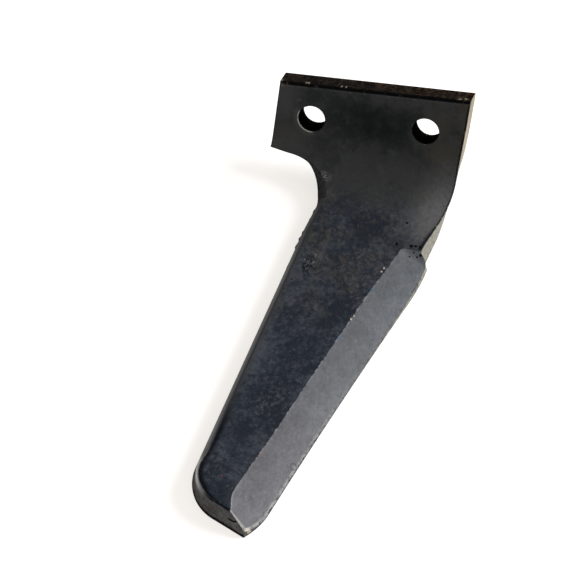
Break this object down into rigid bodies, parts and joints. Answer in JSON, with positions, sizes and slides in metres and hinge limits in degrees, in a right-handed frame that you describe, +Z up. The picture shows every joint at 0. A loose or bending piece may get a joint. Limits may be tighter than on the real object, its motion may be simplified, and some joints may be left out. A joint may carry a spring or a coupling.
{
  "type": "power harrow tine",
  "caption": "Forged steel blade with a bolted mounting plate at one end, bent down to a long tapering cutting part that is bevelled along its leading edge.",
  "frame": {"origin": "on the seat of the mounting plate, midway between the two bolt holes", "axes": "+X along the bend from the trailing side to the leading side, +Y from the tip towards the mounting plate, +Z up from the flat back of the blade"},
  "size_m": [0.1155, 0.287, 0.0668],
  "materials": {
    "forged_steel": "dark forging skin with thin black paint, worn to grey steel on the bevel"
  },
  "bodies": {
    "root": {"tine": "forged_steel"}
  },
  "joints": []
}
